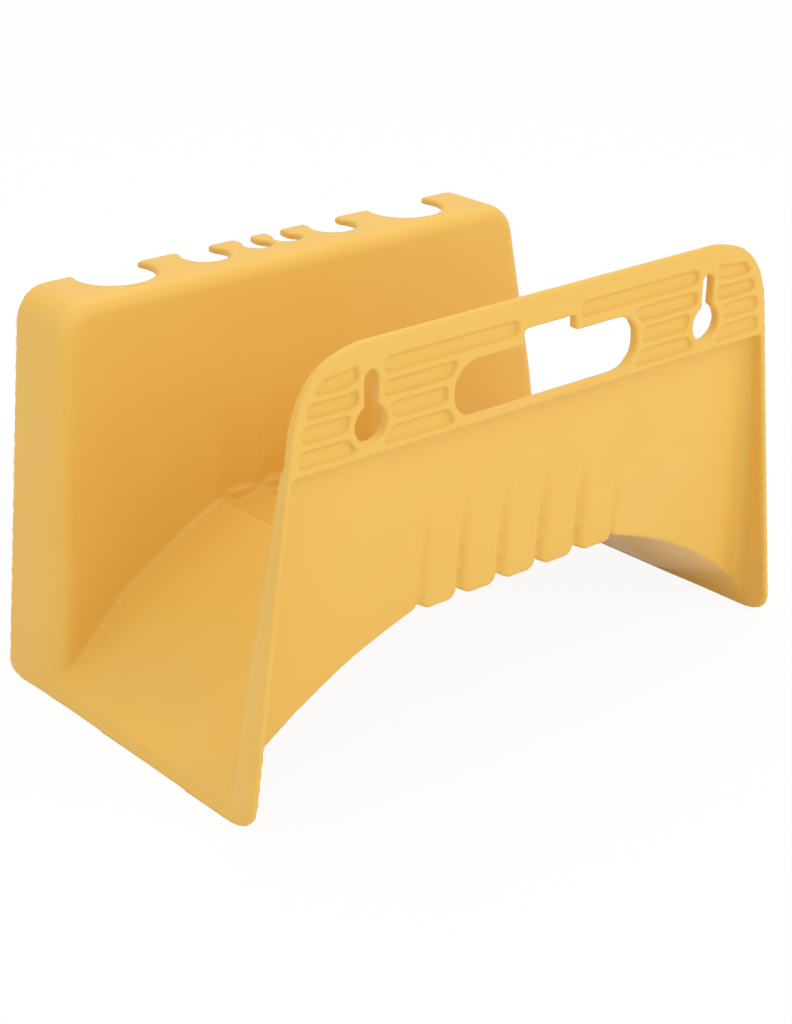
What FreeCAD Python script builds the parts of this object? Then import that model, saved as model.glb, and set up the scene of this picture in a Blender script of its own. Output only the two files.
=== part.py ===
import FreeCAD, Part
import math
import os

import Sketcher

# Hose hanger: one moulding with a wall plate, a fluted saddle for the coiled hose and a front tray
# whose shelf is notched for fittings. Millimetres. The wall plane is Y = 0, the hanger reaches out
# towards -Y and +Z is up. Heights are measured from the feet, and the finished moulding is then
# lowered so that its origin lies in the wall plane midway between the two keyholes.

os.makedirs("parts", exist_ok=True)
doc = FreeCAD.newDocument("hose_hanger")

SIZES = {
    # Whole moulding
    "shell": 2.8,
    "side_flare": 0.1375,
    "overcut": 12,
    # Wall plate
    "wall_half_width": 140,
    "wall_corner": 22,
    "band_depth": 4.5,
    "band_edge_round": 1.8,
    "setback_at_band": 6.5,
    "setback_at_floor": 12.9,
    "plate_edge_round": 8,
    "recess_edge_round": 4,
    "foot_round": 9,
    # Front tray
    "tray_half_width": 137.9,
    "tray_top": 154.5,
    "tray_corner": 14.5,
    "tray_edge_round": 7,
    "panel_at_floor": 128.9,
    "panel_lean": 0.09,
    "rim_at_floor": 163.3,
    "rim_lean": 0.0815,
    "rim_foot_round": 6,
    "shelf_thickness": 3.5,
    # Saddle
    "crown_half": 51.5,
    "crown_under": 57.7,
    "arch_radius": 212,
    "knee_half": 108,
    "knee_fall": 25,
    "skirt_top": 13,
    # Flutes over the crown
    "flute_pitch": 20.6,
    "flute_count": 5,
    "flute_depth": 4,
    "flute_fade": 0.15,
    "flute_corner": 7,
    "flutes_below_band": 30,
    "flute_wall_crest": 8,
    "flute_drop": 3,
    # Ribbed band
    "groove_depth": 3,
    "groove_start": 3.1,
    "groove_height": 5.75,
    "groove_pitch": 8.75,
    "groove_rows": 4,
    "groove_margin": 5,
    # Keyholes
    "keyhole_spacing": 170,
    "keyhole_height": 143.3,
    "band_above_keyhole": 31.2,
    "band_below_keyhole": 12.3,
    "keyhole_radius": 8.25,
    "keyhole_neck": 6,
    "keyhole_stem": 19.7,
    "keyhole_frame_radius": 12.3,
    "keyhole_frame_neck": 17,
    # Long slot with the notch above it
    "slot_half_length": 46.5,
    "slot_below_keyhole": 9.2,
    "slot_above_keyhole": 12.5,
    "slot_frame": 3.6,
    "notch_half_width": 13,
    "notch_above_slot": 6.1,
    "notch_frame": 3.3,
    # Round notches in the shelf
    "small_notch_place": 7.9,
    "small_notch_radius": 5.8,
    "small_notch_mouth": 7.6,
    "small_notch_reach": 159,
    "middle_notch_place": 33.5,
    "middle_notch_radius": 9.8,
    "middle_notch_mouth": 16,
    "middle_notch_reach": 156.5,
    "large_notch_place": 76,
    "large_notch_radius": 16.5,
    "large_notch_mouth": 30.5,
    "large_notch_reach": 152.5,
}


class Size:
    """A length with its value and the formula that ties it to the sheet."""

    def __init__(self, formula, value):
        self.formula = formula
        self.value = value

    def joined(self, sign, other, value):
        return Size(f"({self.formula} {sign} {formula_of(other)})", value)

    def __add__(self, other):
        return self.joined("+", other, self.value + value_of(other))

    def __sub__(self, other):
        return self.joined("-", other, self.value - value_of(other))

    def __mul__(self, other):
        return self.joined("*", other, self.value * value_of(other))

    def __truediv__(self, other):
        return self.joined("/", other, self.value / value_of(other))

    def __neg__(self):
        return self * -1

    def __radd__(self, other):
        return self + other

    def __rsub__(self, other):
        return -self + other

    def __rmul__(self, other):
        return self * other


def formula_of(length):
    return length.formula if isinstance(length, Size) else repr(float(length))


def value_of(length):
    return length.value if isinstance(length, Size) else float(length)


def write_sheet():
    """Writes every driving size to the sheet and returns them by name."""
    sheet = doc.addObject("Spreadsheet::Sheet", "Sizes")
    sizes = {}
    for row, (name, value) in enumerate(SIZES.items(), start=1):
        sheet.set(f"A{row}", name)
        sheet.set(f"B{row}", str(value))
        sheet.setAlias(f"B{row}", name)
        sizes[name] = Size(f"Sizes.{name}", float(value))
    doc.recompute()
    return sizes


size = write_sheet()
shell = size["shell"]
beyond = size["overcut"]
wall_top = size["keyhole_height"] + size["band_above_keyhole"]
band_bottom = size["keyhole_height"] - size["band_below_keyhole"]
flute_top = band_bottom - size["flutes_below_band"]
groove_first = band_bottom + size["groove_start"]
keyhole_top = size["keyhole_height"] + size["keyhole_stem"]
slot_bottom = size["keyhole_height"] - size["slot_below_keyhole"]
slot_top = size["keyhole_height"] + size["slot_above_keyhole"]
notch_top = slot_top + size["notch_above_slot"]


def new_body(name):
    return doc.addObject("PartDesign::Body", name)


def new_sketch(body, plane, offset=0):
    """A sketch on one of the body's own planes, moved along that plane's normal."""
    sketch = body.newObject("Sketcher::SketchObject", f"{body.Name}_outline")
    support = next(item for item in body.Origin.OriginFeatures if item.Role == plane)
    sketch.AttachmentSupport = [(support, "")]
    sketch.MapMode = "FlatFace"
    sketch.setExpression("AttachmentOffset.Base.z", formula_of(offset))
    return sketch


def bind(sketch, kind, *place, length):
    """Adds one dimension to a sketch, driven by a formula."""
    index = sketch.addConstraint(Sketcher.Constraint(kind, *place, value_of(length)))
    if isinstance(length, Size):
        sketch.setExpression(f"Constraints[{index}]", length.formula)


def locate(sketch, geometry, point, across, up):
    bind(sketch, "DistanceX", -1, 1, geometry, point, length=across)
    bind(sketch, "DistanceY", -1, 1, geometry, point, length=up)


def draw_outline(sketch, nodes):
    """Closes a loop through nodes of (across, up), or (across, up, radius) where an arc starts.

    A positive radius bulges to the right of the way along the loop, a negative one to the left.
    """
    ends = []
    for here, there in zip(nodes, nodes[1:] + nodes[:1]):
        start = FreeCAD.Vector(value_of(here[0]), value_of(here[1]), 0)
        end = FreeCAD.Vector(value_of(there[0]), value_of(there[1]), 0)
        if len(here) == 2:
            geometry = sketch.addGeometry(Part.LineSegment(start, end), False)
            first, last = 1, 2
        else:
            radius = abs(value_of(here[2]))
            turn = 1 if value_of(here[2]) > 0 else -1
            chord = end - start
            left = FreeCAD.Vector(-chord.y, chord.x, 0).normalize() * turn
            rise = math.sqrt(radius**2 - (chord.Length / 2) ** 2)
            middle = (start + end) / 2 + left * (rise - radius)
            arc = Part.Arc(start, middle, end) if turn > 0 else Part.Arc(end, middle, start)
            geometry = sketch.addGeometry(arc, False)
            first, last = (1, 2) if turn > 0 else (2, 1)
            bind(sketch, "Radius", geometry, length=here[2] * turn)
        locate(sketch, geometry, first, here[0], here[1])
        ends.append((geometry, first, last))
    for (here, _, last), (there, first, _) in zip(ends, ends[1:] + ends[:1]):
        sketch.addConstraint(Sketcher.Constraint("Coincident", here, last, there, first))


def draw_circle(sketch, across, up, radius):
    centre = FreeCAD.Vector(value_of(across), value_of(up), 0)
    circle = Part.Circle(centre, FreeCAD.Vector(0, 0, 1), value_of(radius))
    geometry = sketch.addGeometry(circle, False)
    locate(sketch, geometry, 3, across, up)
    bind(sketch, "Radius", geometry, length=radius)


def pad(name, plane, nodes, length, offset=0, midplane=False):
    """A body with one pad: XZ pads run from the wall to the front, YZ pads to both sides."""
    body = new_body(name)
    sketch = new_sketch(body, plane, offset)
    draw_outline(sketch, nodes)
    feature = body.newObject("PartDesign::Pad", f"{name}_pad")
    feature.Profile = sketch
    feature.setExpression("Length", formula_of(length))
    feature.Midplane = midplane
    doc.recompute()
    return body


def trim(body, nodes):
    """Cuts a side view outline right across a body."""
    sketch = new_sketch(body, "YZ_Plane")
    draw_outline(sketch, nodes)
    feature = body.newObject("PartDesign::Pocket", f"{body.Name}_trim")
    feature.Profile = sketch
    feature.Midplane = True
    feature.setExpression("Length", formula_of(4 * size["wall_half_width"]))
    doc.recompute()


def round_edges(body, radius, wanted):
    """Rounds the edges of a body whose middle point passes the test."""
    shape = body.Tip.Shape
    names = []
    for number, edge in enumerate(shape.Edges, start=1):
        middle = edge.valueAt((edge.FirstParameter + edge.LastParameter) / 2)
        if wanted(middle, edge):
            names.append(f"Edge{number}")
    feature = body.newObject("PartDesign::Fillet", f"{body.Name}_round")
    feature.Base = (body.Tip if body.Tip is not feature else feature.BaseFeature, names)
    feature.setExpression("Radius", formula_of(radius))
    doc.recompute()


def combine(kind, name, *items):
    """A boolean of several objects: the first is the base of a cut."""
    result = doc.addObject(kind, name)
    if kind == "Part::Cut":
        result.Base, result.Tool = items
    else:
        result.Shapes = list(items)
    doc.recompute()
    return result


def fuse(name, *items):
    return combine("Part::MultiFuse", name, *items)


def cut(name, base, tool):
    return combine("Part::Cut", name, base, tool)


def common(name, *items):
    return combine("Part::MultiCommon", name, *items)


def runs_along_y(edge):
    return edge.Curve.TypeId == "Part::GeomLine" and abs(edge.Curve.Direction.y) > 0.99


# Outlines that several features share

def side_at(half_width, height):
    return half_width - size["side_flare"] * height


def setback(height):
    """Distance from the wall to the back face of the lower plate."""
    fall = size["setback_at_floor"] - size["setback_at_band"]
    return size["setback_at_floor"] - fall / band_bottom * height


def panel(height):
    return size["panel_at_floor"] + size["panel_lean"] * height


def rim(height):
    return size["rim_at_floor"] + size["rim_lean"] * height


def tapered(half_width, bottom, top, inset=0):
    """A symmetric outline that narrows upwards."""
    low = side_at(half_width, bottom) - inset
    high = side_at(half_width, top) - inset
    return [(-low, bottom), (low, bottom), (high, top), (-high, top)]


# Wall plate: a thick band at the top, and a thinner plate set back between side flanges

def wall_plate_blank():
    top = wall_top
    half = size["wall_half_width"]
    band = pad("band_blank", "XZ_Plane", tapered(half, band_bottom - beyond, top), size["band_depth"])
    round_edges(band, size["wall_corner"], lambda p, edge: runs_along_y(edge) and p.z > value_of(top) - 1)
    round_edges(
        band,
        size["band_edge_round"],
        lambda p, edge: abs(p.y + value_of(size["band_depth"])) < 0.01 and p.z > value_of(band_bottom) - 10,
    )
    lower = band_bottom + shell
    plate = pad("plate_blank", "XZ_Plane", tapered(half, 0, lower), size["setback_at_floor"] + beyond)
    trim(plate, [
        (-(setback(-beyond) + shell), -beyond),
        (-(setback(lower + beyond) + shell), lower + beyond),
        (-(size["setback_at_floor"] + 2 * beyond), lower + beyond),
        (-(size["setback_at_floor"] + 2 * beyond), -beyond),
    ])
    deep = value_of(setback(lower) + shell) - 0.1
    round_edges(plate, size["plate_edge_round"], lambda p, edge: p.y < -deep and p.z > 5)
    return fuse("wall_plate_solid", band, plate)


def wall_recess():
    """The open space behind the lower plate, between the flanges."""
    bottom = -beyond
    nodes = tapered(size["wall_half_width"], bottom, band_bottom, inset=shell)
    recess = pad("wall_recess", "XZ_Plane", nodes, size["setback_at_floor"] + 2 * beyond, offset=-beyond)
    top = band_bottom + beyond
    trim(recess, [
        (-setback(bottom - beyond), bottom - beyond),
        (-setback(top), top),
        (-(size["setback_at_floor"] + 3 * beyond), top),
        (-(size["setback_at_floor"] + 3 * beyond), bottom - beyond),
    ])
    deep = value_of(setback(band_bottom)) - 0.1
    round_edges(recess, size["recess_edge_round"], lambda p, edge: p.y < -deep and p.z > 0)
    return recess


# Front tray: a leaning panel with a shelf above it and flanges down both sides

def tray_block(name, bottom, inset, depth, drop, corner, back_round):
    """The tray's outer block, or the hollow inside it when inset."""
    top = size["tray_top"] - drop
    start = size["panel_at_floor"] - beyond
    nodes = tapered(size["tray_half_width"], bottom, top, inset=inset)
    block = pad(name, "XZ_Plane", nodes, size["rim_at_floor"] - size["panel_at_floor"] + 4 * beyond, offset=start)
    low = bottom - beyond
    high = top + beyond
    trim(block, [
        (-(panel(low) + depth), low),
        (-(size["panel_at_floor"] - 2 * beyond), low),
        (-(size["panel_at_floor"] - 2 * beyond), high),
        (-(panel(high) + depth), high),
    ])
    round_edges(block, corner, lambda p, edge: runs_along_y(edge) and p.z > value_of(top) - 1)
    round_edges(
        block,
        back_round,
        lambda p, edge: abs(-p.y - value_of(depth) - SIZES["panel_at_floor"] - SIZES["panel_lean"] * p.z) < 0.05
        and p.z > value_of(bottom) + 1,
    )
    return block


# Saddle: a level crown, falling away in an arc on each side to a low skirt

def saddle_nodes(half_width, lift, inset):
    """The saddle seen from the front, its top line lowered and its ends drawn in for the hollow."""
    crown = size["crown_under"] + shell - lift
    knee = size["knee_half"] - inset * 0.5
    knee_height = size["crown_under"] + shell - size["knee_fall"] - lift * 1.1
    end_height = size["skirt_top"] - lift * 1.2
    end = side_at(half_width, end_height) - inset
    foot = side_at(half_width, -beyond) - inset
    radius = size["arch_radius"] - lift
    return [
        (-foot, -beyond),
        (foot, -beyond),
        (end, end_height),
        (knee, knee_height, radius),
        (size["crown_half"], crown),
        (-size["crown_half"], crown, radius),
        (-knee, knee_height),
        (-end, end_height),
    ]


def saddle_loft(name, lift, inset, start, end):
    """A body between the saddle's outline near the wall and the one near the front rim."""
    body = new_body(name)
    sections = []
    for place in (start, end):
        sketch = new_sketch(body, "XZ_Plane", place)
        narrowing = (size["wall_half_width"] - size["tray_half_width"]) / size["rim_at_floor"]
        draw_outline(sketch, saddle_nodes(size["wall_half_width"] - narrowing * place, lift, inset))
        sections.append(sketch)
    loft = body.newObject("PartDesign::AdditiveLoft", f"{name}_loft")
    loft.Profile = sections[0]
    loft.Sections = sections[1:]
    loft.Ruled = True
    doc.recompute()
    return body


# Flutes: shallow columns that cross the crown and climb both walls beside it, fading out upwards

def scallop_line(start, stop, steps, ends, cusps, depth, chord):
    """Arcs side by side along a line, with cusps between them and their own height at both ends."""
    radius = (chord * chord / 4 + depth * depth) / (2 * depth)
    nodes = []
    for step in range(steps):
        across = start + (stop - start) * (step / steps)
        nodes.append((across, ends if step == 0 else cusps, radius))
    nodes.append((stop, ends))
    return nodes


def flute_plan(height, depth, inset):
    """The fluted part of the saddle seen from above, at one height."""
    half = size["flute_pitch"] * size["flute_count"] / 2
    steps = int(value_of(size["flute_count"]))
    wall_end = -(setback(height) + inset)
    wall_cusp = -(size["flute_wall_crest"] + depth + inset)
    front_end = -(panel(height) + shell - inset)
    front_cusp = -(panel(flute_top) + shell - depth - inset)
    pitch = size["flute_pitch"]
    wall_side = scallop_line(half, -half, steps, wall_end, wall_cusp, depth, pitch)
    front_side = scallop_line(-half, half, steps, front_end, front_cusp, depth, pitch)
    return wall_side + front_side


def flute_column(name, inset):
    """The upright fluted block between its shallow top and its deep foot."""
    body = new_body(name)
    sections = []
    for height, depth in ((flute_top, size["flute_fade"]), (size["crown_under"] - beyond, size["flute_depth"])):
        sketch = new_sketch(body, "XY_Plane", height)
        draw_outline(sketch, flute_plan(height, depth, inset))
        sections.append(sketch)
    loft = body.newObject("PartDesign::AdditiveLoft", f"{name}_loft")
    loft.Profile = sections[0]
    loft.Sections = sections[1:]
    loft.Ruled = True
    doc.recompute()
    return body


def flute_block(name, inset, corner):
    """The fluted column closed below by the scalloped crown, with rounded lower corners."""
    column = flute_column(f"{name}_column", inset)
    half = size["flute_pitch"] * size["flute_count"] / 2
    steps = int(value_of(size["flute_count"]))
    low = size["crown_under"] + inset
    high = flute_top + beyond
    reach = size["rim_at_floor"]
    crown = scallop_line(-half, half, steps, low, low, size["flute_drop"], size["flute_pitch"])
    front = pad(f"{name}_crown", "XZ_Plane", crown + [(half, high), (-half, high)], reach)
    bottom = low - size["flute_drop"]
    wall_side = -(size["flute_wall_crest"] - size["flute_drop"] + inset)
    front_side = -(panel(flute_top) + shell - inset)
    side = pad(f"{name}_side", "YZ_Plane", [
        (wall_side, bottom),
        (wall_side, high),
        (front_side, high),
        (front_side, bottom),
    ], 4 * half, midplane=True)
    round_edges(side, corner, lambda p, edge: p.z < value_of(bottom) + 1 and abs(p.x) < 1)
    return common(name, column, front, side)


def flute_window():
    """The plain plate, crown and panel that the flutes take the place of."""
    half = size["flute_pitch"] * size["flute_count"] / 2
    lip = size["crown_under"] + shell + size["band_edge_round"]
    floor = size["crown_under"] - 2 * size["flute_drop"]
    clear = panel(flute_top) + 2 * shell
    return pad("flute_window", "YZ_Plane", [
        (-setback(band_bottom) + shell, floor),
        (-setback(band_bottom) + shell, flute_top),
        (-clear, flute_top),
        (-clear, lip),
        (-(panel(size["crown_under"]) + shell / 2), lip),
        (-(panel(size["crown_under"]) + shell / 2), floor),
    ], 2 * half, midplane=True)


# Ribbed band: rows of shallow grooves between plain frames

def disc(name, across, up, radius, depth, start):
    body = new_body(name)
    sketch = new_sketch(body, "XZ_Plane", start)
    draw_circle(sketch, across, up, radius)
    feature = body.newObject("PartDesign::Pad", f"{name}_pad")
    feature.Profile = sketch
    feature.setExpression("Length", formula_of(depth))
    doc.recompute()
    return body


def keyhole(name, side, radius, neck, top, depth):
    """A round hole with a narrow neck above it, or the frame around one."""
    centre = side * size["keyhole_spacing"] / 2
    half = neck / 2
    start = -beyond
    head = disc(f"{name}_head", centre, size["keyhole_height"], radius, depth + beyond, start)
    nodes = [
        (centre - half, size["keyhole_height"]),
        (centre + half, size["keyhole_height"]),
        (centre + half, top - half, half),
        (centre, top, half),
        (centre - half, top - half),
    ]
    stem = pad(f"{name}_stem", "XZ_Plane", nodes, depth + beyond, offset=start)
    return fuse(name, head, stem)


def slot(name, border, notch_border, depth):
    """The long round-ended slot with a notch above its middle, or the frame around it."""
    bottom = slot_bottom - border
    top = slot_top + border
    radius = (top - bottom) / 2
    middle = (top + bottom) / 2
    end = size["slot_half_length"] + border
    start = -beyond
    long_slot = pad(f"{name}_long", "XZ_Plane", [
        (-(end - radius), bottom),
        (end - radius, bottom, radius),
        (end, middle, radius),
        (end - radius, top),
        (-(end - radius), top, radius),
        (-end, middle, radius),
    ], depth + beyond, offset=start)
    half = size["notch_half_width"] + notch_border
    notch = pad(f"{name}_notch", "XZ_Plane", [
        (-half, middle),
        (half, middle),
        (half, notch_top + notch_border),
        (-half, notch_top + notch_border),
    ], depth + beyond, offset=start)
    return fuse(name, long_slot, notch)


def band_grooves():
    half = size["wall_half_width"]
    depth = size["groove_depth"]
    row = pad("groove_row", "XZ_Plane", [
        (-half, groove_first),
        (half, groove_first),
        (half, groove_first + size["groove_height"]),
        (-half, groove_first + size["groove_height"]),
    ], depth + beyond, offset=-beyond)
    pattern = row.newObject("PartDesign::LinearPattern", "groove_rows")
    pattern.Originals = [row.getObject("groove_row_pad")]
    pattern.Direction = (row.getObject("groove_row_outline"), ["V_Axis"])
    pattern.setExpression("Length", formula_of(size["groove_pitch"] * (size["groove_rows"] - 1)))
    pattern.setExpression("Occurrences", formula_of(size["groove_rows"]))
    row.Tip = pattern
    margin = size["groove_margin"]
    nodes = tapered(half, band_bottom, wall_top - margin, inset=margin)
    field = pad("groove_field", "XZ_Plane", nodes, depth + 2 * beyond, offset=-beyond)
    top = value_of(wall_top - margin)
    round_edges(field, size["wall_corner"] - margin, lambda p, edge: runs_along_y(edge) and p.z > top - 1)
    rows = common("grooves_plain", row, field)
    frames = fuse(
        "groove_frames",
        keyhole("frame_near", 1, size["keyhole_frame_radius"], size["keyhole_frame_neck"], wall_top, 2 * depth),
        keyhole("frame_far", -1, size["keyhole_frame_radius"], size["keyhole_frame_neck"], wall_top, 2 * depth),
        slot("frame_slot", size["slot_frame"], size["notch_frame"], 2 * depth),
    )
    return cut("grooves", rows, frames)


# Shelf notches: round seats that open through a narrower mouth at the front edge

def shelf_notch(name, side, kind):
    place = side * size[f"{kind}_notch_place"]
    radius = size[f"{kind}_notch_radius"]
    centre = -(size[f"{kind}_notch_reach"] + radius)
    low = size["tray_top"] - size["shelf_thickness"] - size["overcut"] / 4
    body = new_body(f"{name}_seat")
    sketch = new_sketch(body, "XY_Plane", low)
    draw_circle(sketch, place, centre, radius)
    feature = body.newObject("PartDesign::Pad", f"{name}_seat_pad")
    feature.Profile = sketch
    feature.setExpression("Length", formula_of(beyond))
    half = size[f"{kind}_notch_mouth"] / 2
    front = -(rim(size["tray_top"]) + beyond)
    mouth = pad(f"{name}_mouth", "XY_Plane", [
        (place - half, front),
        (place + half, front),
        (place + half, centre),
        (place - half, centre),
    ], beyond, offset=low)
    return fuse(name, body, mouth)


def side_view():
    """The whole moulding seen from the side: flat on the floor and the wall, with rounded feet."""
    high = wall_top + beyond
    shape = pad("side_view", "YZ_Plane", [
        (0, 0),
        (0, high),
        (-rim(high), high),
        (-rim(0), 0),
    ], 4 * size["wall_half_width"], midplane=True)
    round_edges(shape, size["foot_round"], lambda p, edge: abs(p.x) < 1 and abs(p.z) < 0.1 and p.y > -1)
    front = value_of(-rim(0))
    round_edges(shape, size["rim_foot_round"], lambda p, edge: abs(p.x) < 1 and abs(p.z) < 0.1 and p.y < front + 1)
    return shape


def build():
    nothing = size["overcut"] * 0
    wall_solid = wall_plate_blank()
    tray_solid = tray_block(
        "tray_blank", nothing, nothing, nothing, nothing, size["tray_corner"], size["tray_edge_round"]
    )
    front_end = rim(0) + 2 * beyond
    saddle_solid = saddle_loft("saddle_blank", nothing, nothing, size["setback_at_band"], front_end)
    arch_space = saddle_loft("arch_space", shell, shell, -beyond, front_end + beyond)
    recess = wall_recess()
    tray_space = tray_block(
        "tray_space", -beyond, shell, shell, size["shelf_thickness"],
        size["tray_corner"] - shell, size["tray_edge_round"] - shell,
    )
    tray_hollow = cut("tray_hollow", tray_space, saddle_solid)
    blank = fuse("blank", wall_solid, tray_solid, saddle_solid)
    spaces = fuse("spaces", recess, tray_hollow, arch_space)
    plain = cut("plain_shell", blank, spaces)
    opened = cut("opened_shell", plain, flute_window())
    flutes = cut(
        "flute_shell",
        flute_block("flute_outside", nothing, size["flute_corner"]),
        flute_block("flute_inside", shell, size["flute_corner"] - shell),
    )
    fluted = fuse("fluted_shell", opened, flutes)
    through = size["band_depth"] + beyond
    cuts = [band_grooves(), slot("slot", nothing, nothing, through)]
    for side, label in ((1, "near"), (-1, "far")):
        cuts.append(keyhole(
            f"keyhole_{label}", side, size["keyhole_radius"], size["keyhole_neck"], keyhole_top, through
        ))
        for kind in ("small", "middle", "large"):
            cuts.append(shelf_notch(f"{kind}_notch_{label}", side, kind))
    cut_shell = cut("cut_shell", fluted, fuse("cuts", *cuts))
    return common("hose_hanger", cut_shell, side_view())


def check_document():
    """Stops before anything is written if a feature failed or the moulding isn't one sound solid."""
    for item in doc.Objects:
        if "Invalid" in item.State or "Error" in item.State:
            raise RuntimeError(f"{item.Name} failed: {item.State}")
        if hasattr(item, "Shape") and item.isDerivedFrom("Part::Feature") and item.Shape.isNull():
            raise RuntimeError(f"{item.Name} has no shape")
    if not hanger.Shape.isValid() or len(hanger.Shape.Solids) != 1:
        raise RuntimeError("the moulding isn't one valid solid")


hanger = build()
hanger.Label = "hose_hanger"
hanger.setExpression(".Placement.Base.z", formula_of(-size["keyhole_height"]))
doc.recompute()
check_document()
hanger.Shape.exportStep(f"parts/{hanger.Label}.step")
print("hose_hanger", round(hanger.Shape.Volume), "mm3", len(hanger.Shape.Faces), "faces")
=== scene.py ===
import math

import bpy
import numpy as np
from mathutils import Matrix, Vector


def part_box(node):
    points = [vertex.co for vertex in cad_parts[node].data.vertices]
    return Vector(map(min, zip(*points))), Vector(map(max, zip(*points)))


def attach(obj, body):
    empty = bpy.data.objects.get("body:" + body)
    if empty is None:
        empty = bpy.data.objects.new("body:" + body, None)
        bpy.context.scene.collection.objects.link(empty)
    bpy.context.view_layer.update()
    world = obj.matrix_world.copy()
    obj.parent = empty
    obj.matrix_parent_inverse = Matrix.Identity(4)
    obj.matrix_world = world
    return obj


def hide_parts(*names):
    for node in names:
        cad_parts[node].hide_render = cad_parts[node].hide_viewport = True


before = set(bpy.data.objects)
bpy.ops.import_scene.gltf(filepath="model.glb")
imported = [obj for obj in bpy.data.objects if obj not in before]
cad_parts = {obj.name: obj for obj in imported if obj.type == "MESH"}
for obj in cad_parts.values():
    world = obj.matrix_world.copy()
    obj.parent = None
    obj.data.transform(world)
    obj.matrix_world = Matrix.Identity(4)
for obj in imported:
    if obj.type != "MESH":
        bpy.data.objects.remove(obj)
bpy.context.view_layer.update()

# The hose hanger is one satin yellow moulding. Its fixed frame is drawn finer here, and it stands on a
# plain pale floor in soft studio light.

HANGER = "hose_hanger"
lowest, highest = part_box(HANGER)
foot_line = lowest.z
middle = (lowest + highest) / 2

# Finish of the plastic and of the floor, in metres
MOULD_GRAIN = 0.0004
MOULD_GRAIN_HEIGHT = 0.00001
GRAIN_STRENGTH = 0.35
GRAIN_DETAIL = 2.0
SHEEN_PATCH = 0.03
SHEEN_DETAIL = 3.0
EDGE_SOFTNESS = 0.0016
EDGE_SAMPLES = 6
ROUGHNESS = 0.36
ROUGHNESS_DRIFT = 0.12
PLASTIC_IOR = 1.49
PLASTIC_GLOSS = 0.3
FLOOR_HALF = 6.0
FLOOR_WHITENESS = 0.92

# Colours are written as they look and turned into light values by linear()
PLASTIC = (0.93, 0.75, 0.365)
PLASTIC_DEEP = (0.92, 0.73, 0.335)
FLOOR_PALE = (0.96, 0.96, 0.955)
WHITE = (1, 1, 1, 1)

# The camera stands on the wall side of the hanger, above and beyond its +X end. Its place is in metres,
# its angles are in degrees
CAMERA_PLACE = Vector((0.53664, 0.53129, foot_line + 0.41673))
CAMERA_AZIMUTH = 139.13
CAMERA_ELEVATION = 23.79
CAMERA_ROLL = 0.64
CAMERA_LENS = 76.75
CAMERA_SENSOR = 36
CAMERA_SHIFT = (0.0066, 0.0029)
CAMERA_NEAR = 0.01

# Square lamps: the place from the middle of the hanger, the side and the power in watts
LAMPS = {
    "key_lamp": ((-0.3, 1.4, 0.9), 1.5, 8.6),
    "fill_lamp": ((1.4, 0.2, 0.6), 1.2, 1.4),
    "top_lamp": ((-0.2, -0.4, 1.6), 1.5, 9.5),
}
ROOM_LIGHT = 0.72


def linear(colour):
    """The light values of a colour as it looks, with full cover."""
    steps = [value / 12.92 if value <= 0.04045 else ((value + 0.055) / 1.055) ** 2.4 for value in colour]
    return (*steps, 1.0)


class Value:
    """One output of a node, which can be used in sums."""

    def __init__(self, finish, socket):
        self.finish = finish
        self.socket = socket

    def __add__(self, other):
        return self.finish.maths("ADD", self, other)

    def __mul__(self, other):
        return self.finish.maths("MULTIPLY", self, other)

    __radd__ = __add__
    __rmul__ = __mul__


class Finish:
    """The nodes of a material or of the studio room."""

    def __init__(self, owner):
        owner.use_nodes = True
        self.owner = owner
        self.tree = owner.node_tree
        self.tree.nodes.clear()

    def node(self, kind, settings=None, inputs=None, output=0):
        """Adds a node, sets it up, joins or fills its inputs and returns one of its outputs."""
        made = self.tree.nodes.new(kind)
        for name, setting in (settings or {}).items():
            setattr(made, name, setting)
        for name, value in (inputs or {}).items():
            if isinstance(value, Value):
                self.tree.links.new(value.socket, made.inputs[name])
            else:
                made.inputs[name].default_value = value
        return Value(self, made.outputs[output]) if made.outputs else None

    def maths(self, operation, first, second):
        return self.node("ShaderNodeMath", {"operation": operation}, {0: first, 1: second})

    def mix_colour(self, factor, first, second):
        """A blend of two colours, which are the node's sockets 6 and 7."""
        return self.node("ShaderNodeMix", {"data_type": "RGBA"}, {0: factor, 6: first, 7: second}, output=2)

    def noise(self, place, patch, detail):
        """Soft noise with patches of about one size."""
        return self.node("ShaderNodeTexNoise", inputs={"Vector": place, "Scale": 1 / patch, "Detail": detail})

    def surface(self, shader):
        self.node("ShaderNodeOutputMaterial", inputs={"Surface": shader})
        return self.owner


def moulded_plastic():
    """Satin polypropylene: an even colour, a fine mould grain and a sheen that drifts a little."""
    finish = Finish(bpy.data.materials.new("moulded_plastic"))
    place = finish.node("ShaderNodeTexCoord", output="Object")
    drift = finish.noise(place, SHEEN_PATCH, SHEEN_DETAIL)
    grain = finish.noise(place, MOULD_GRAIN, GRAIN_DETAIL)
    soft_edge = finish.node("ShaderNodeBevel", {"samples": EDGE_SAMPLES}, {"Radius": EDGE_SOFTNESS})
    bump = finish.node("ShaderNodeBump", inputs={
        "Height": grain,
        "Strength": GRAIN_STRENGTH,
        "Distance": MOULD_GRAIN_HEIGHT,
        "Normal": soft_edge,
    })
    shader = finish.node("ShaderNodeBsdfPrincipled", inputs={
        "Base Color": finish.mix_colour(drift, linear(PLASTIC), linear(PLASTIC_DEEP)),
        "Roughness": ROUGHNESS + drift * ROUGHNESS_DRIFT,
        "IOR": PLASTIC_IOR,
        "Specular IOR Level": PLASTIC_GLOSS,
        "Normal": bump,
    })
    return finish.surface(shader)


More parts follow.
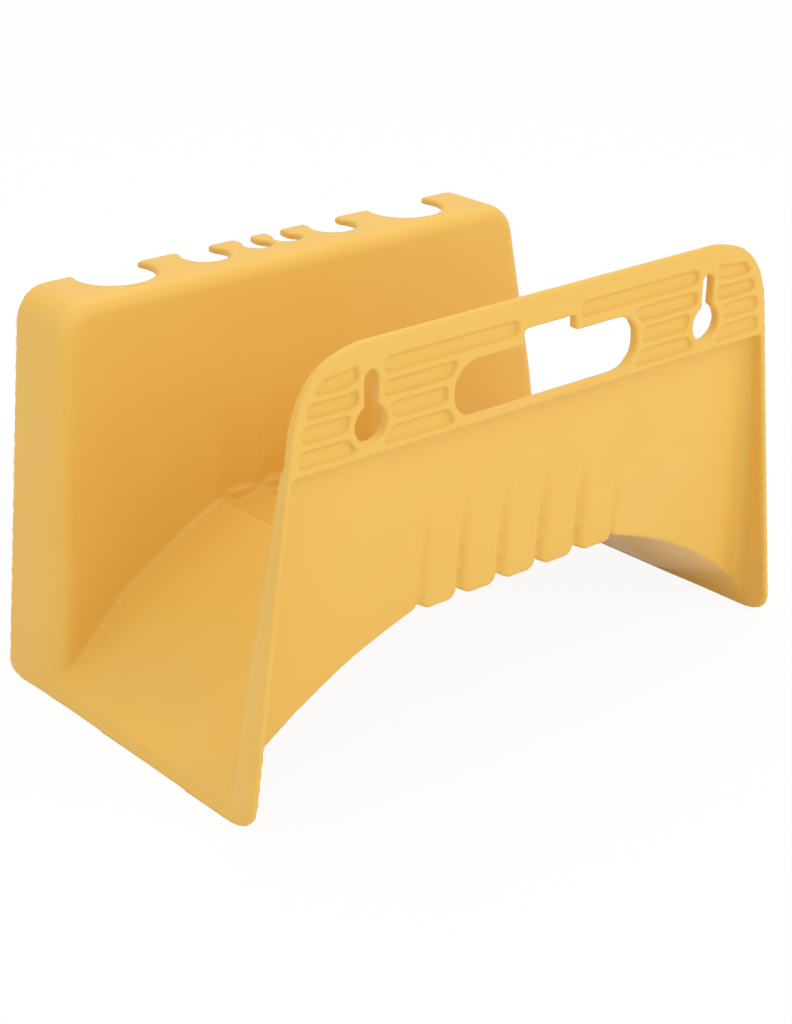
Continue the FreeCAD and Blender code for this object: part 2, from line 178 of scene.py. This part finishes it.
def pale_floor():
    """Seen by the camera it is white and keeps a faint shadow; to the light it is a plain pale floor."""
    finish = Finish(bpy.data.materials.new("pale_floor"))
    matt = finish.node("ShaderNodeBsdfDiffuse", inputs={"Color": linear(FLOOR_PALE)})
    white = finish.node("ShaderNodeEmission", inputs={"Color": WHITE, "Strength": 1.0})
    seen = finish.node("ShaderNodeLightPath", output="Is Camera Ray")
    mirrored = finish.node("ShaderNodeLightPath", output="Is Glossy Ray")
    share = (seen + mirrored) * FLOOR_WHITENESS
    return finish.surface(finish.node("ShaderNodeMixShader", inputs={0: share, 1: matt, 2: white}))


def lay_floor():
    """A flat square under the feet."""
    sides = ((-1, -1), (1, -1), (1, 1), (-1, 1))
    mesh = bpy.data.meshes.new("floor")
    mesh.from_pydata([(x * FLOOR_HALF, y * FLOOR_HALF, foot_line) for x, y in sides], [], [(0, 1, 2, 3)])
    mesh.materials.append(pale_floor())
    floor = bpy.data.objects.new("floor", mesh)
    bpy.context.scene.collection.objects.link(floor)


def soft_lamp(name, place, side, watts):
    """A square lamp that faces the middle of the hanger."""
    lamp = bpy.data.lights.new(name, "AREA")
    lamp.size = side
    lamp.energy = watts
    holder = bpy.data.objects.new(name, lamp)
    holder.location = middle + Vector(place)
    holder.rotation_euler = (-Vector(place)).to_track_quat("-Z", "Y").to_euler()
    bpy.context.scene.collection.objects.link(holder)


def light_studio():
    """Soft lamps in an even pale room, which the camera sees as white."""
    for name, (place, side, watts) in LAMPS.items():
        soft_lamp(name, place, side, watts)
    world = bpy.data.worlds.new("studio")
    bpy.context.scene.world = world
    room = Finish(world)
    even = room.node("ShaderNodeBackground", inputs={"Color": WHITE, "Strength": ROOM_LIGHT})
    white = room.node("ShaderNodeBackground", inputs={"Color": WHITE})
    seen = room.node("ShaderNodeLightPath", output="Is Camera Ray")
    shader = room.node("ShaderNodeMixShader", inputs={0: seen, 1: even, 2: white})
    room.node("ShaderNodeOutputWorld", inputs={"Surface": shader})


def set_camera():
    """The photograph's viewpoint."""
    camera = bpy.data.cameras.new("camera")
    camera.lens = CAMERA_LENS
    camera.sensor_fit = "AUTO"
    camera.sensor_width = CAMERA_SENSOR
    camera.shift_x, camera.shift_y = CAMERA_SHIFT
    camera.clip_start = CAMERA_NEAR
    holder = bpy.data.objects.new("camera", camera)
    turn = Matrix.Rotation(math.radians(CAMERA_AZIMUTH), 4, "Z")
    tilt = Matrix.Rotation(math.radians(90 - CAMERA_ELEVATION), 4, "X")
    roll = Matrix.Rotation(math.radians(CAMERA_ROLL), 4, "Z")
    holder.matrix_world = Matrix.Translation(CAMERA_PLACE) @ turn @ tilt @ roll
    bpy.context.scene.collection.objects.link(holder)
    bpy.context.scene.camera = holder


# The finer form: a close-meshed copy of the frame's moulding with soft edges, on which the flutes,
# grooves, keyholes, corners and saddle ends are drawn nearer to the real ones. Its sizes are in
# millimetres, with x across, y out from the wall (below nought) and z up from the floor. A pair of
# sizes called FADE or BLEND is where a change begins and where it ends: FLUTE_LIFT_FADE counts from the
# flutes' foot, SADDLE_PANEL_FADE from the panel and the others from the wall, the middle or the floor.

MM = 0.001
TINY = 0.001
MESH_STEP = 0.75
SMOOTHING = 14
SMOOTHING_SHARE = 0.5
KEPT_FACES = 0.18

# Wall plate, and where the panel of the tray stands
BAND_BOTTOM = 131
BAND_DEPTH = 4.5
BAND_MARGIN = 0.2
BAND_REACH = 6
WALL_TOP = 174.5
WALL_TOP_FALL = 0.5
WALL_TOP_FALL_START = 160
WALL_HALF = 140
SIDE_FLARE = 0.1375
FRAME_CORNER = 22
CORNER = 29
PLATE_THICK = 2.8
SETBACK_AT_FLOOR = 12.9
SETBACK_AT_BAND = 6.5
PLATE_FALL = 4.0
PLATE_START = 1.5
PLATE_FACE_MARGIN = 0.3
PLATE_BACK_MARGIN = 0.5
PANEL_AT_FLOOR = 128.9
PANEL_LEAN = 0.09

# Flutes: pillows with a valley between each two. The frame's own have a rounder cut
FLUTE_PITCH = 20.6
FLUTE_COUNT = 5
FLUTE_HALF = FLUTE_PITCH * FLUTE_COUNT / 2
FLUTE_TOP = 101
FLUTE_FOOT = 57.7
FLUTE_LOWEST = 40
FRAME_FLUTE_CREST = 8
FRAME_FLUTE_DEPTH = 4
FRAME_FLUTE_POWER = 2
FRAME_FLUTE_FADE = 0.15
FRAME_FLUTE_SPAN = 55.3
FLUTE_DEPTH = 3.4
FLUTE_SUNK = -0.7
FLUTE_BLEND = (14, 20)
VALLEY_POWER = 7
VALLEY_ONSET = 3
FLUTE_LIFT = 0.9
FLUTE_LIFT_FADE = (5, 22)
FLUTE_SCALLOP = 0.9
SCALLOP_POWER = 3

# Grooves and keyholes of the band. A border is the radius round the head and the half width of the neck
FRAME_GROOVE = 3
GROOVE = 2.0
KEYHOLE_PLACE = 85
KEYHOLE_HEIGHT = 143.3
FRAME_KEYHOLE = 8.25
KEYHOLE = 7.1
KEYHOLE_NECK = 3
KEYHOLE_FIELD = 18
KEYHOLE_MARGIN = 0.3
FRAME_BORDER = (12.3, 8.5)
FRAME_BORDER_LEAST = 1
BORDER = (10.3, 5.9)
BORDER_LEAST = 0.5

# Saddle: how far its ends rise or fall at each distance from the middle, by the wall plate and the panel
SADDLE_BLEND = 60
SADDLE_START = 16
SADDLE_FOOT_FADE = 11
SADDLE_CROWN_FADE = 45
SADDLE_TOP_FADE = (62, 75)
SADDLE_WALL_FADE = (8, 14)
SADDLE_PANEL_FADE = (3, 9)
PANEL_MARGIN = 2
WALL_END_RISE = ((51.5, 0.0), (108, 0.2), (120, 1.4), (132, 1.8), (139, -7.5))
PANEL_END_RISE = (
    (51.5, 0.6),
    (65, -0.8),
    (80, -2.6),
    (101, -4.2),
    (108, -5.8),
    (115, -6.8),
    (122, -8.2),
    (129, -8.8),
    (139, -7.5),
)

# Tray
TRAY_WIDER = 0.8
TRAY_SIDE_FADE = (100, 137)
TRAY_FRONT_FADE = (120, 150)


def part_way(value, start, end):
    """How far value lies on the way from start to end, from 0 to 1."""
    return np.clip((value - start) / (end - start), 0, 1)


def along(stops, place):
    """The height of a line through the stops."""
    return np.interp(place, [stop[0] for stop in stops], [stop[1] for stop in stops])


def frame_setback(z):
    """Distance from the wall to the back face of the frame's lower plate."""
    return SETBACK_AT_FLOOR + (SETBACK_AT_BAND - SETBACK_AT_FLOOR) * z / BAND_BOTTOM


def plate_shift(z):
    """How much deeper the lower plate lies, which grows towards the floor."""
    return PLATE_FALL * (1 - part_way(z, 0, BAND_BOTTOM))


def flute_drop(x, depth, power):
    """Nought in the middle of a pillow and the full depth in the valleys; a high power narrows them."""
    half = FLUTE_PITCH / 2
    across = np.abs((x + half) % FLUTE_PITCH - half) / half
    return depth * across ** power


def sink_plate_and_draw_flutes(x, y, z):
    """The lower plate lies deeper behind its flanges. Its flutes are pillows with narrow valleys."""
    reach = -y
    face = frame_setback(z)
    behind = part_way(reach, face + PLATE_THICK + PLATE_BACK_MARGIN, SADDLE_BLEND)
    share = part_way(reach, PLATE_START, face - PLATE_FACE_MARGIN) * (1 - behind)
    plate = -plate_shift(z) * share * (z < BAND_BOTTOM)
    fade = FRAME_FLUTE_FADE + (1 - FRAME_FLUTE_FADE) * (FLUTE_TOP - z) / FRAME_FLUTE_SPAN
    old = FRAME_FLUTE_CREST + flute_drop(x, FRAME_FLUTE_DEPTH * fade, FRAME_FLUTE_POWER)
    rise = part_way(z, FLUTE_TOP, FLUTE_FOOT)
    valley = flute_drop(x, FLUTE_DEPTH * (1 - (1 - rise) ** VALLEY_ONSET), VALLEY_POWER)
    new = face + plate_shift(z) + FLUTE_SUNK * rise + valley
    fluted = (np.abs(x) < FLUTE_HALF) & (z < FLUTE_TOP) & (z > FLUTE_LOWEST)
    near = (1 - part_way(reach, *FLUTE_BLEND)) * fluted
    lift = FLUTE_LIFT + flute_drop(x, FLUTE_SCALLOP, SCALLOP_POWER)
    lift_start, lift_end = FLUTE_LIFT_FADE
    low = 1 - part_way(z, FLUTE_FOOT + lift_start, FLUTE_FOOT + lift_end)
    return x, y + plate * (1 - near) + (old - new) * near, z + lift * low * near


def soften_grooves(x, y, z):
    """Shallower grooves in the band, which keeps its own depth."""
    front = y * GROOVE / FRAME_GROOVE
    back = -GROOVE + (y + FRAME_GROOVE) * (BAND_DEPTH - GROOVE) / (BAND_DEPTH - FRAME_GROOVE)
    band = (z > BAND_BOTTOM + BAND_MARGIN) & (y > -BAND_DEPTH)
    return x, np.where(band, np.where(y > -FRAME_GROOVE, front, back), y), z


def half_width(radius, neck, up):
    """Half the width of a keyhole outline at a height above the middle of its head."""
    head = np.sqrt(np.maximum(radius ** 2 - up ** 2, 0))
    return np.maximum(head, np.where(up > 0, neck, 0))


def slim_keyholes(x, y, z):
    """Narrows the keyholes and the raised borders round them."""
    side = np.sign(x)
    across = x - side * KEYHOLE_PLACE
    up = z - KEYHOLE_HEIGHT
    reach = np.maximum(np.hypot(across, up), TINY)
    rim = FRAME_BORDER[0]
    inner = reach * KEYHOLE / FRAME_KEYHOLE
    outer = KEYHOLE + (reach - FRAME_KEYHOLE) * (rim - KEYHOLE) / (rim - FRAME_KEYHOLE)
    scale = np.where(reach < FRAME_KEYHOLE, inner, np.where(reach < rim, outer, reach)) / reach
    across = across * scale
    up = up * scale
    wide = np.abs(across)
    hole = half_width(KEYHOLE, KEYHOLE_NECK, up) + KEYHOLE_MARGIN
    old = np.maximum(half_width(*FRAME_BORDER, up), hole + FRAME_BORDER_LEAST)
    new = np.maximum(half_width(*BORDER, up), hole + BORDER_LEAST)
    border = hole + (wide - hole) * (new - hole) / (old - hole)
    field = new + (wide - old) * (KEYHOLE_FIELD - new) / (KEYHOLE_FIELD - old)
    slim = np.where(wide < hole, wide, np.where(wide < old, border, field))
    band = (y > -BAND_REACH) & (z > BAND_BOTTOM) & (wide < KEYHOLE_FIELD)
    return (
        np.where(band, side * KEYHOLE_PLACE + np.sign(across) * slim, x),
        y,
        np.where(band, KEYHOLE_HEIGHT + up, z),
    )


def round_corners(x, y, z):
    """Opens the wall plate's top corners to a larger round and lowers its top a little."""
    edge = WALL_HALF - SIDE_FLARE * z
    across = np.abs(x) - (edge - CORNER)
    up = z - (WALL_TOP - CORNER)
    reach = np.maximum(np.hypot(across, up), TINY)
    inner = CORNER - FRAME_CORNER
    lean = inner * (across + up) / reach
    arc = lean + np.sqrt(np.maximum(0, lean ** 2 - 2 * inner ** 2 + FRAME_CORNER ** 2))
    longer = np.maximum(np.maximum(across, up), TINY)
    shorter = np.minimum(across, up)
    border = np.where(shorter * CORNER <= longer * inner, CORNER * reach / longer, arc)
    corner = (y > -BAND_REACH) & (across > 0) & (up > 0)
    x = np.where(corner, np.sign(x) * (edge - CORNER + across * CORNER / border), x)
    z = np.where(corner, WALL_TOP - CORNER + up * CORNER / border, z)
    return x, y, z - WALL_TOP_FALL * part_way(z, WALL_TOP_FALL_START, WALL_TOP) * (y > -BAND_REACH)


def lower_saddle(x, y, z):
    """The saddle falls further towards the panel and ends in a low lip."""
    reach = -y
    panel = PANEL_AT_FLOOR + PANEL_LEAN * z
    panel_start, panel_end = SADDLE_PANEL_FADE
    blend = part_way(reach, SADDLE_START, SADDLE_BLEND)
    wide = np.abs(x)
    rise = along(WALL_END_RISE, wide) * (1 - blend) + along(PANEL_END_RISE, wide) * blend
    past_panel = part_way(reach, panel + panel_start, panel + panel_end)
    rise = rise * part_way(z, 0, SADDLE_FOOT_FADE) * (1 - past_panel)
    rise = rise * part_way(wide, SADDLE_CROWN_FADE, FLUTE_HALF)
    rise = rise * (1 - part_way(z, *SADDLE_TOP_FADE)) * part_way(reach, *SADDLE_WALL_FADE)
    return x, y - PANEL_LEAN * rise * part_way(reach, SADDLE_BLEND, panel - PANEL_MARGIN), z + rise


def widen_tray(x, y, z):
    """The sides of the tray stand a little further out."""
    share = part_way(np.abs(x), *TRAY_SIDE_FADE)
    return x + np.sign(x) * TRAY_WIDER * share * part_way(-y, *TRAY_FRONT_FADE), y, z


CHANGES = (
    sink_plate_and_draw_flutes,
    slim_keyholes,
    soften_grooves,
    round_corners,
    lower_saddle,
    widen_tray,
)


def read_places(mesh):
    """The corners of a mesh as rows of x, y and z."""
    places = np.empty(len(mesh.vertices) * 3)
    mesh.vertices.foreach_get("co", places)
    return places.reshape(-1, 3)


def write_places(mesh, places):
    mesh.vertices.foreach_set("co", places.ravel())
    mesh.update()


def work_in(piece):
    """Turns the piece's modifiers into its mesh."""
    bpy.context.view_layer.update()
    graph = bpy.context.evaluated_depsgraph_get()
    piece.data = bpy.data.meshes.new_from_object(piece.evaluated_get(graph))
    piece.modifiers.clear()


def draw_finer(mesh):
    """Moves the mesh's corners through each change of form."""
    x, y, z = read_places(mesh).T / MM
    z = z - foot_line / MM
    for change in CHANGES:
        x, y, z = change(x, y, z)
    write_places(mesh, np.column_stack((x, y, z + foot_line / MM)) * MM)


def stretch_to_frame(mesh):
    """Smoothing draws the edges in a little, so the form is stretched back to the frame's box."""
    places = read_places(mesh)
    low = places.min(axis=0)
    high = places.max(axis=0)
    top = np.array(highest) - np.array([0, 0, WALL_TOP_FALL * MM])
    bottom = np.array(lowest)
    write_places(mesh, bottom + (places - low) / (high - low) * (top - bottom))


def finer_form():
    """The moulding in its finer form, in the place of the frame's."""
    piece = bpy.data.objects.new("moulding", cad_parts[HANGER].data.copy())
    bpy.context.scene.collection.objects.link(piece)
    weld = piece.modifiers.new("weld", "WELD")
    weld.merge_threshold = TINY * MM
    remesh = piece.modifiers.new("close_mesh", "REMESH")
    remesh.mode = "VOXEL"
    remesh.voxel_size = MESH_STEP * MM
    work_in(piece)
    draw_finer(piece.data)
    smooth = piece.modifiers.new("soft_edges", "SMOOTH")
    smooth.factor = SMOOTHING_SHARE
    smooth.iterations = SMOOTHING
    fewer = piece.modifiers.new("fewer_faces", "DECIMATE")
    fewer.ratio = KEPT_FACES
    work_in(piece)
    stretch_to_frame(piece.data)
    piece.data.shade_smooth()
    return piece


def finish_hanger():
    """Shows the finer moulding in its plastic."""
    plastic = moulded_plastic()
    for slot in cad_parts[HANGER].material_slots:
        slot.material = plastic
    piece = finer_form()
    piece.data.materials.clear()
    piece.data.materials.append(plastic)
    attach(piece, "root")
    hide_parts(HANGER)


finish_hanger()
lay_floor()
light_studio()
set_camera()
bpy.context.scene.view_settings.view_transform = "Standard"
